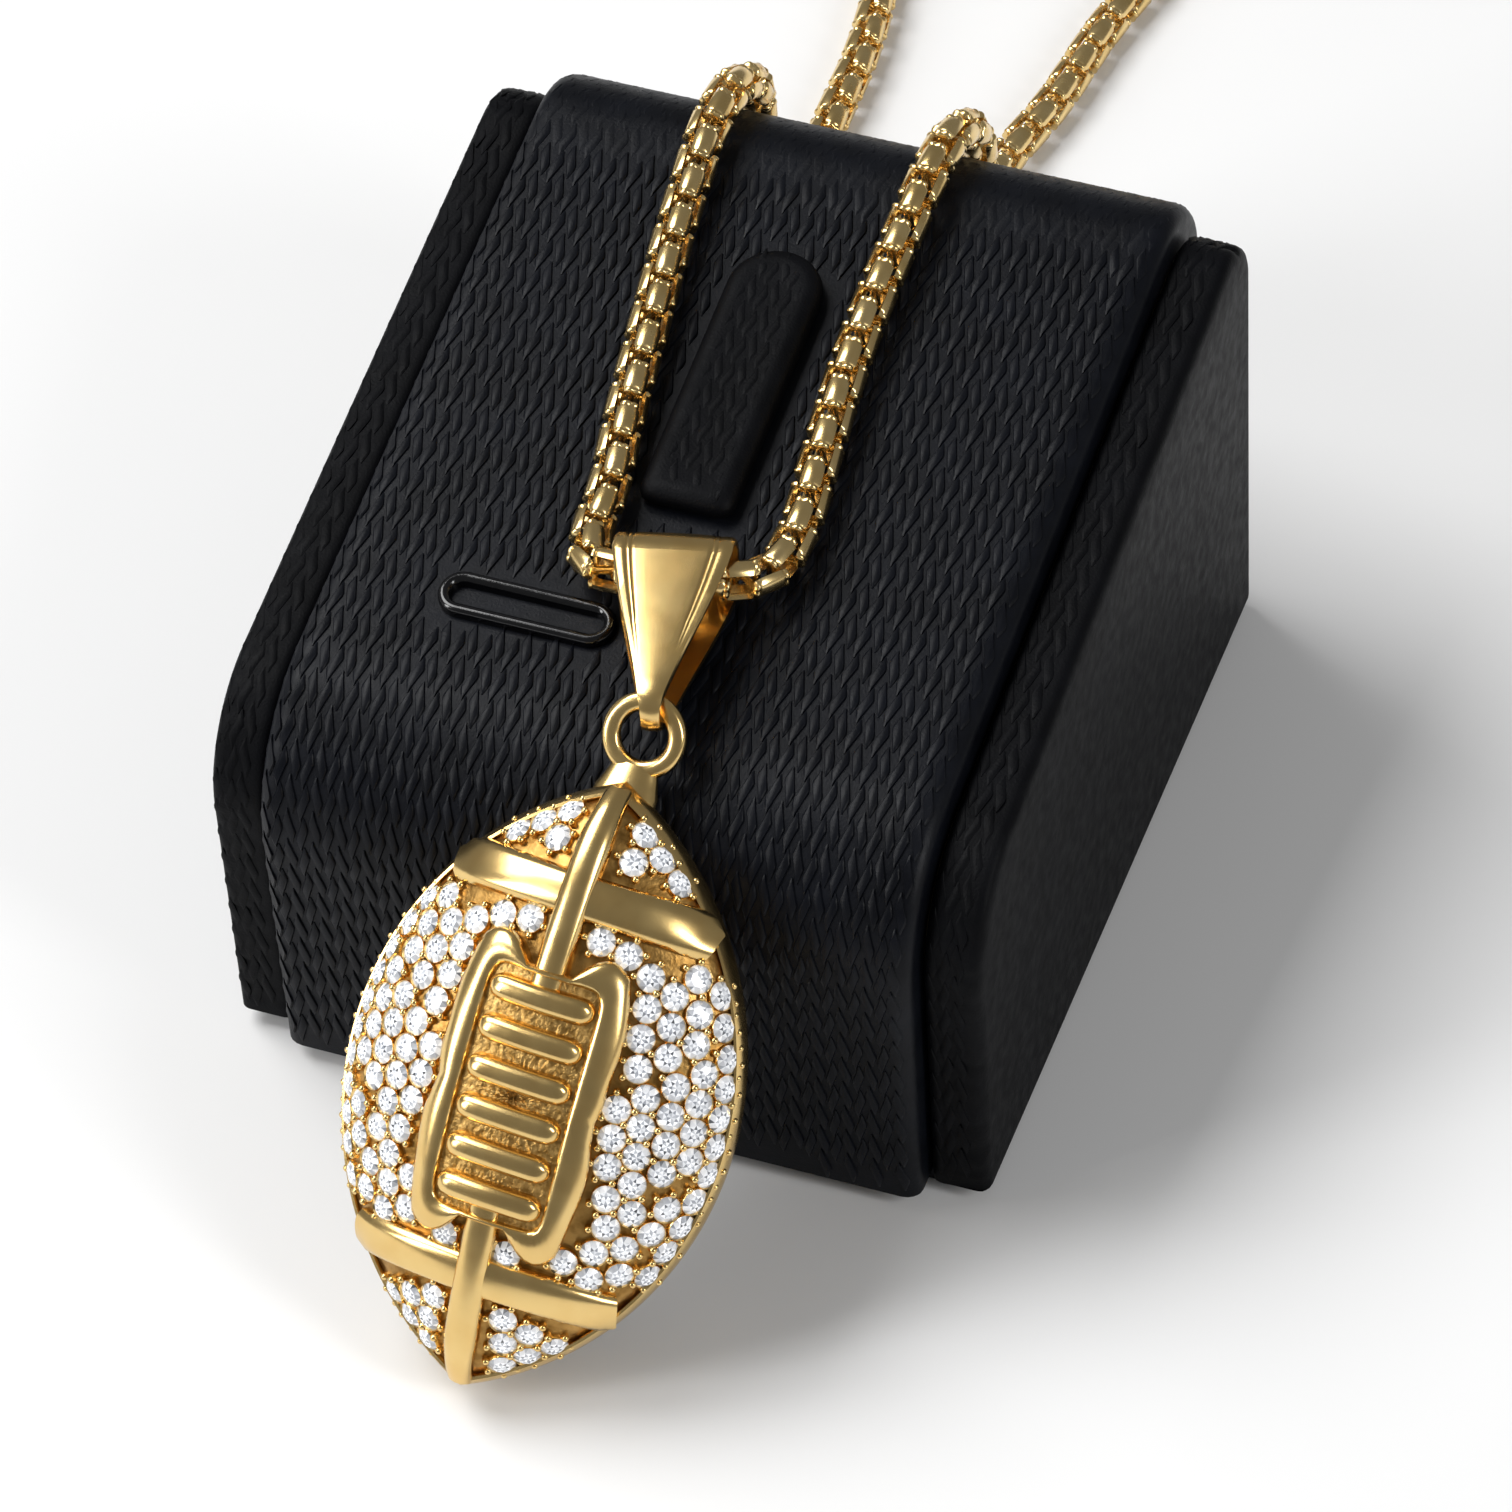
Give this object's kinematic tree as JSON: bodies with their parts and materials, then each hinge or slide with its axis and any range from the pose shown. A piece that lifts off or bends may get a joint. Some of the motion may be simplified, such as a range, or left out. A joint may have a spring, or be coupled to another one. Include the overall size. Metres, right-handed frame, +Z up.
{
  "type": "necklace display block",
  "caption": "Sloping leatherette display block carrying a football pendant on a box chain, with a clip tab, a lined slot, a hinged bail and a lobster clasp.",
  "frame": {"origin": "centre of the block's base, on the surface it stands on", "axes": "+Z up; +Y from the block's low front edge, where the pendant hangs, to its high back edge; +X to the right seen from the front"},
  "size_m": [0.0575, 0.1987, 0.0446],
  "materials": {
    "leatherette": "black woven-embossed leatherette, low sheen",
    "board": "raw fibreboard",
    "foam": "black sponge foam",
    "felt": "black felt",
    "slot_plastic": "polished black",
    "chain_gold": "polished gold plate",
    "pendant_gold": "polished gold plate",
    "aged_gold": "gold plate darkened in its hollows",
    "crystal": "clear faceted rhinestones on foil"
  },
  "bodies": {
    "block": {"core_block": "board", "pad_foam": "foam", "pad_skin": "leatherette", "left_side_board": "leatherette", "right_side_board": "leatherette", "base_felt": "felt", "slot_lining": "slot_plastic", "chain_left": "chain_gold", "chain_left_turns": "chain_gold", "chain_left_tail": "chain_gold", "chain_right": "chain_gold", "chain_right_turns": "chain_gold", "chain_right_tail": "chain_gold", "clasp_ring": "chain_gold", "end_ring": "chain_gold"},
    "tab": {"clip_tab": "leatherette"},
    "bail": {"bail": "pendant_gold"},
    "pendant": {"pendant_ring": "pendant_gold", "pendant_shell": "aged_gold", "upper_seams": "pendant_gold", "lower_seams": "pendant_gold", "lace_panel": "aged_gold", "lace_1": "pendant_gold", "lace_2": "pendant_gold", "lace_3": "pendant_gold", "lace_4": "pendant_gold", "lace_5": "pendant_gold", "lace_6": "pendant_gold", "stones_top_left": "crystal", "stones_top_right": "crystal", "stones_middle_left": "crystal", "stones_middle_right": "crystal", "stones_bottom_left": "crystal", "stones_bottom_right": "crystal"},
    "clasp": {"clasp_body": "chain_gold", "clasp_pin": "aged_gold"},
    "trigger": {"clasp_trigger": "chain_gold"}
  },
  "joints": [
    {"name": "bail_swing", "type": "hinge", "parent": "block", "child": "bail", "pos_m": [0.0009, -0.0135, 0.03846], "axis": [-0.9744, -0.2244, -0.0124], "range_deg": [0, 80]},
    {"name": "pendant_swing", "type": "hinge", "parent": "bail", "child": "pendant", "pos_m": [0.00344, -0.0245, 0.03785], "axis": [-0.9966, 0.0527, 0.0628], "range_deg": [0, 100]},
    {"name": "tab_lift", "type": "hinge", "parent": "block", "child": "tab", "pos_m": [-0.0012, 0.01579, 0.04023], "axis": [-1, 0, 0], "range_deg": [0, 8], "stiffness_Nm_per_rad": 0.001, "springref_deg": -2.86},
    {"name": "clasp_swing", "type": "hinge", "parent": "block", "child": "clasp", "pos_m": [-0.0045, 0.1239, 0.0015], "axis": [0, 0, -1], "range_deg": [-5, 25]},
    {"name": "trigger_press", "type": "hinge", "parent": "clasp", "child": "trigger", "pos_m": [-0.0021, 0.12145, 0.0015], "axis": [0, 0, -1], "range_deg": [0, 20], "stiffness_Nm_per_rad": 0.00005, "springref_deg": -5.73}
  ]
}
